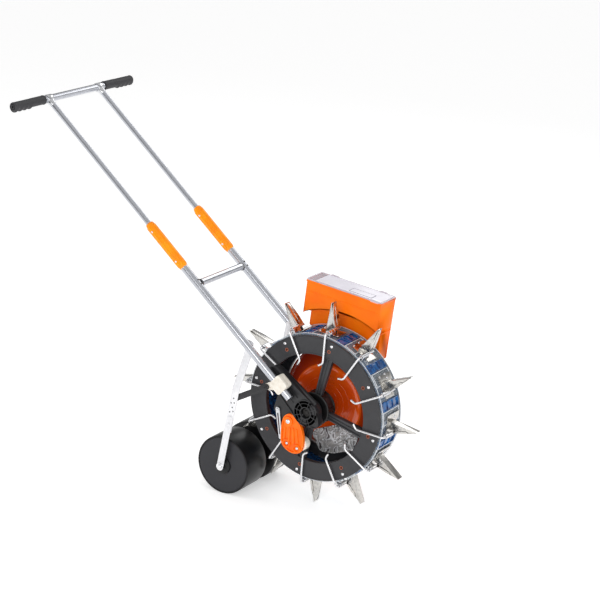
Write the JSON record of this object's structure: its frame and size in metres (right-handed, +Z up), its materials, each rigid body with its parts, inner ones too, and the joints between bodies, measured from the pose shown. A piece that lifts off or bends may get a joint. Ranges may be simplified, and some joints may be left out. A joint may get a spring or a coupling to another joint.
{
  "type": "push seeder",
  "caption": "Hand-pushed planting wheel with opening duckbill mouths, a side seed hopper with hinged lid, a rear press drum and a long two-tube T handle.",
  "frame": {"origin": "bottom centre of the bounding box, on the ground the seeder stands on", "axes": "+X forward travel, +Y the machine's left, +Z up"},
  "size_m": [1.1434, 0.514, 1.0201],
  "materials": {
    "black_plastic": "satin moulded",
    "blue_plastic": "glossy moulded",
    "clear_plastic": "clear moulded",
    "orange_plastic": "glossy moulded",
    "dish_plastic": "translucent moulded",
    "cream_plastic": "satin moulded",
    "steel": "bright plated",
    "tube_metal": "bright drawn tube",
    "white_steel": "pale zinc plate",
    "drum_plastic": "glossy moulded",
    "grip_rubber": "matt",
    "strut_black": "black paint"
  },
  "bodies": {
    "frame": {"axle": "steel", "cross_tube": "tube_metal", "drum_arm_far": "white_steel", "drum_arm_near": "white_steel", "drum_axle": "steel", "drum_strut": "strut_black", "far_side_arm": "black_plastic", "grip_far": "grip_rubber", "grip_near": "grip_rubber", "handle_bar": "tube_metal", "hopper": "orange_plastic", "lower_tube_far": "tube_metal", "lower_tube_near": "tube_metal", "near_side_arm": "black_plastic", "opener_cam": "cream_plastic", "opener_plate": "orange_plastic", "opener_strap": "steel", "seed_dish": "dish_plastic", "seed_inlet_cover": "dish_plastic", "seed_window": "clear_plastic", "splice_sleeve_far": "orange_plastic", "splice_sleeve_near": "orange_plastic", "tube_clamp_far": "cream_plastic", "tube_clamp_near": "cream_plastic", "upper_tube_far": "tube_metal", "upper_tube_near": "tube_metal"},
    "wheel": {"clear_rim_band": "clear_plastic", "duckbill_fixed_jaw_01": "steel", "duckbill_fixed_jaw_02": "steel", "duckbill_fixed_jaw_03": "steel", "duckbill_fixed_jaw_04": "steel", "duckbill_fixed_jaw_05": "steel", "duckbill_fixed_jaw_06": "steel", "duckbill_fixed_jaw_07": "steel", "duckbill_fixed_jaw_08": "steel", "duckbill_fixed_jaw_09": "steel", "duckbill_fixed_jaw_10": "steel", "duckbill_fixed_jaw_11": "steel", "duckbill_fixed_jaw_12": "steel", "far_side_ring": "black_plastic", "hub_bearing_far": "steel", "hub_bearing_near": "steel", "near_side_plate": "black_plastic", "seed_channel_ring": "blue_plastic"},
    "drum": {"drum_core": "drum_plastic", "drum_half_near": "drum_plastic", "drum_half_far": "drum_plastic"},
    "lid": {"hopper_lid": "clear_plastic"},
    "lever_01": {"duckbill_lever_jaw_01": "steel"},
    "lever_02": {"duckbill_lever_jaw_02": "steel"},
    "lever_03": {"duckbill_lever_jaw_03": "steel"},
    "lever_04": {"duckbill_lever_jaw_04": "steel"},
    "lever_05": {"duckbill_lever_jaw_05": "steel"},
    "lever_06": {"duckbill_lever_jaw_06": "steel"},
    "lever_07": {"duckbill_lever_jaw_07": "steel"},
    "lever_08": {"duckbill_lever_jaw_08": "steel"},
    "lever_09": {"duckbill_lever_jaw_09": "steel"},
    "lever_10": {"duckbill_lever_jaw_10": "steel"},
    "lever_11": {"duckbill_lever_jaw_11": "steel"},
    "lever_12": {"duckbill_lever_jaw_12": "steel"}
  },
  "joints": [
    {"name": "wheel_spin", "type": "hinge", "parent": "frame", "child": "wheel", "pos_m": [0.28714, 0, 0.28459], "axis": [0, 1, 0], "continuous": true},
    {"name": "drum_spin", "type": "hinge", "parent": "frame", "child": "drum", "pos_m": [0.03914, 0, 0.0821], "axis": [0, 1, 0], "continuous": true},
    {"name": "lid_hinge", "type": "hinge", "parent": "frame", "child": "lid", "pos_m": [0.31164, 0.1151, 0.59059], "axis": [-0.994, 0, 0.1097], "range_deg": [0, 108]},
    {"name": "mouth_hinge_01", "type": "hinge", "parent": "wheel", "child": "lever_01", "pos_m": [0.31732, -0.03, 0.49918], "axis": [0, 1, 0], "range_deg": [0, 22], "stiffness_Nm_per_rad": 0.5, "springref_deg": -17.19},
    {"name": "mouth_hinge_02", "type": "hinge", "parent": "wheel", "child": "lever_02", "pos_m": [0.42057, -0.03, 0.45534], "axis": [0, 1, 0], "range_deg": [0, 22], "stiffness_Nm_per_rad": 0.5, "springref_deg": -17.19},
    {"name": "mouth_hinge_03", "type": "hinge", "parent": "wheel", "child": "lever_03", "pos_m": [0.48807, -0.03, 0.36575], "axis": [0, 1, 0], "range_deg": [0, 22], "stiffness_Nm_per_rad": 0.5, "springref_deg": -17.19},
    {"name": "mouth_hinge_04", "type": "hinge", "parent": "wheel", "child": "lever_04", "pos_m": [0.50173, -0.03, 0.25441], "axis": [0, 1, 0], "range_deg": [0, 22], "stiffness_Nm_per_rad": 0.5, "springref_deg": -17.19},
    {"name": "mouth_hinge_05", "type": "hinge", "parent": "wheel", "child": "lever_05", "pos_m": [0.45789, -0.03, 0.15116], "axis": [0, 1, 0], "range_deg": [0, 22], "stiffness_Nm_per_rad": 0.5, "springref_deg": -17.19},
    {"name": "mouth_hinge_06", "type": "hinge", "parent": "wheel", "child": "lever_06", "pos_m": [0.3683, -0.03, 0.08367], "axis": [0, 1, 0], "range_deg": [0, 22], "stiffness_Nm_per_rad": 0.5, "springref_deg": -17.19},
    {"name": "mouth_hinge_07", "type": "hinge", "parent": "wheel", "child": "lever_07", "pos_m": [0.25696, -0.03, 0.07], "axis": [0, 1, 0], "range_deg": [0, 22], "stiffness_Nm_per_rad": 0.5, "springref_deg": -17.19},
    {"name": "mouth_hinge_08", "type": "hinge", "parent": "wheel", "child": "lever_08", "pos_m": [0.15371, -0.03, 0.11384], "axis": [0, 1, 0], "range_deg": [0, 22], "stiffness_Nm_per_rad": 0.5, "springref_deg": -17.19},
    {"name": "mouth_hinge_09", "type": "hinge", "parent": "wheel", "child": "lever_09", "pos_m": [0.08621, -0.03, 0.20344], "axis": [0, 1, 0], "range_deg": [0, 22], "stiffness_Nm_per_rad": 0.5, "springref_deg": -17.19},
    {"name": "mouth_hinge_10", "type": "hinge", "parent": "wheel", "child": "lever_10", "pos_m": [0.07255, -0.03, 0.31477], "axis": [0, 1, 0], "range_deg": [0, 22], "stiffness_Nm_per_rad": 0.5, "springref_deg": -17.19},
    {"name": "mouth_hinge_11", "type": "hinge", "parent": "wheel", "child": "lever_11", "pos_m": [0.11639, -0.03, 0.41802], "axis": [0, 1, 0], "range_deg": [0, 22], "stiffness_Nm_per_rad": 0.5, "springref_deg": -17.19},
    {"name": "mouth_hinge_12", "type": "hinge", "parent": "wheel", "child": "lever_12", "pos_m": [0.20598, -0.03, 0.48552], "axis": [0, 1, 0], "range_deg": [0, 22], "stiffness_Nm_per_rad": 0.5, "springref_deg": -17.19}
  ]
}
